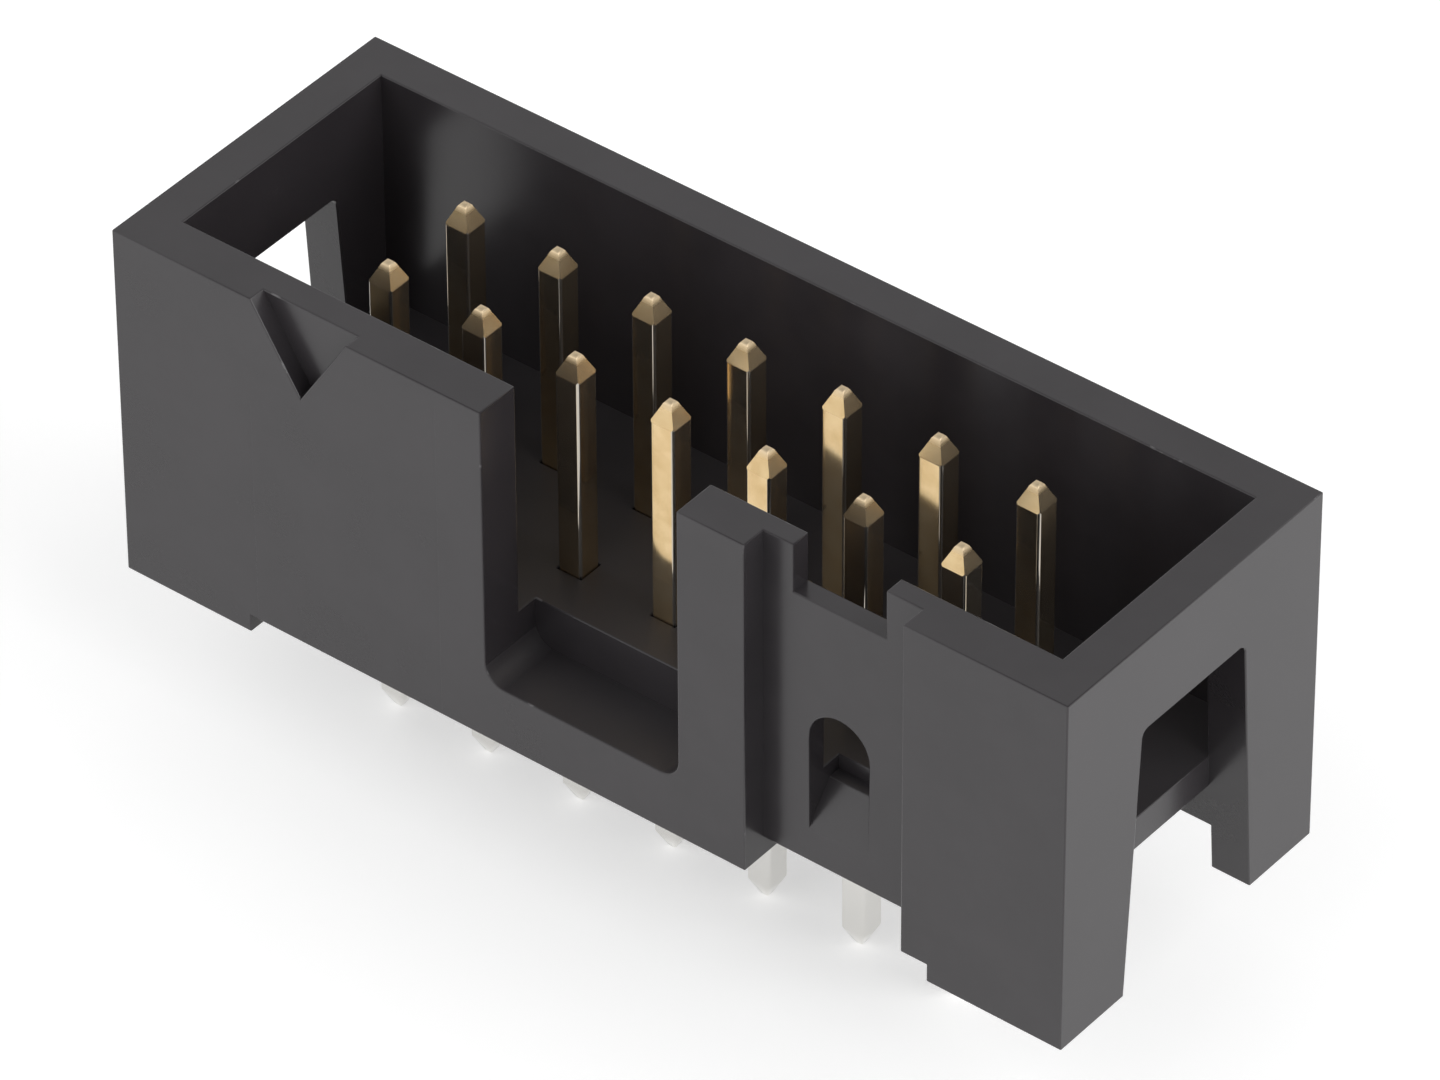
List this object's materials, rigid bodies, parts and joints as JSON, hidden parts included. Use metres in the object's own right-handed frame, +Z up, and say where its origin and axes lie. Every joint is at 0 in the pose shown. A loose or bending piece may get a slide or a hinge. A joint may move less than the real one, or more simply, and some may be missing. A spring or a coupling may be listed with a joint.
{
  "type": "shrouded pin header",
  "caption": "Straight through-hole box header: a black moulded shroud with a key slot and end portals around two rows of square gold posts.",
  "frame": {"origin": "on the board plane, under the middle of the contact grid", "axes": "+X along the rows from the first contact to the last, +Y from the key slot to the back wall, +Z up out of the board"},
  "size_m": [0.0252, 0.0088, 0.0126],
  "materials": {
    "housing": "fine matte moulded black thermoplastic",
    "contact": "gold flash on the post, pale tin on the solder tail"
  },
  "bodies": {
    "root": {"housing": "housing", "contact_01": "contact", "contact_02": "contact", "contact_03": "contact", "contact_04": "contact", "contact_05": "contact", "contact_06": "contact", "contact_07": "contact", "contact_08": "contact", "contact_09": "contact", "contact_10": "contact", "contact_11": "contact", "contact_12": "contact", "contact_13": "contact", "contact_14": "contact"}
  },
  "joints": []
}
